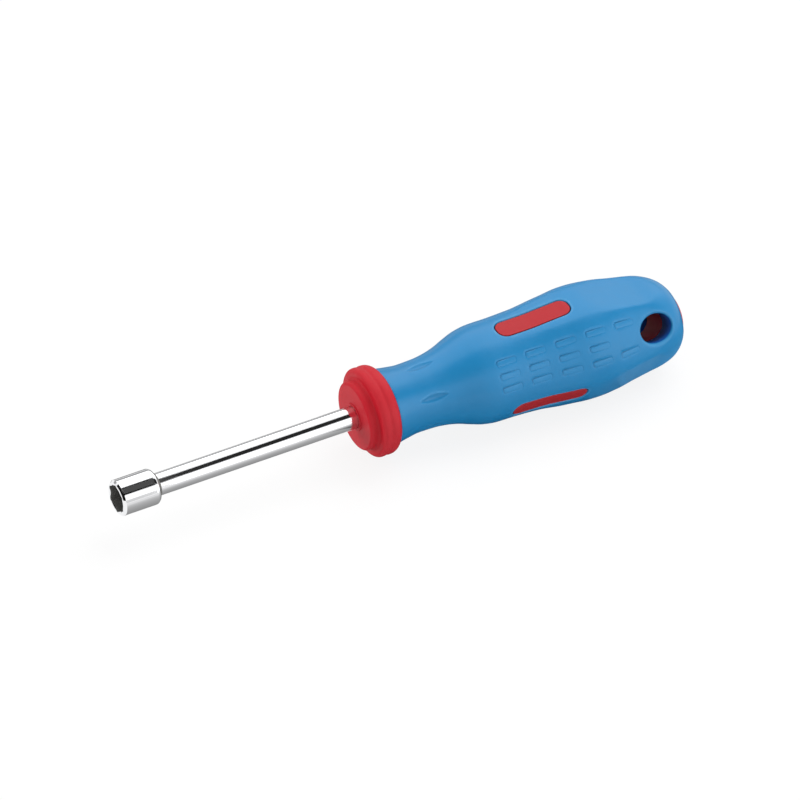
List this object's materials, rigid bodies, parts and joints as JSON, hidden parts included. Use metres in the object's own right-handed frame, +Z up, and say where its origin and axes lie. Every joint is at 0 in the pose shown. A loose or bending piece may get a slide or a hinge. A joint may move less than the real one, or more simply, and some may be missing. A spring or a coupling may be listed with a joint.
{
  "type": "socket wrench",
  "caption": "Fixed nut driver: a chromed hexagon socket on a round shaft, with a red collar and core under a soft blue grip that has windows, tread marks and a hanging hole.",
  "frame": {"origin": "middle of the tool's length, at the height of the lowest point of the handle", "axes": "+X along the shaft from the socket to the butt, +Z up out of one ridge of the handle"},
  "size_m": [0.188, 0.0353, 0.0338],
  "materials": {
    "chrome": "polished chrome plating",
    "red_plastic": "smooth moulded plastic",
    "blue_grip": "satin soft grip"
  },
  "bodies": {
    "root": {"socket_head": "chrome", "shaft": "chrome", "front_collar": "red_plastic", "handle_core": "red_plastic", "grip_sleeve": "blue_grip", "end_cap": "red_plastic"}
  },
  "joints": []
}
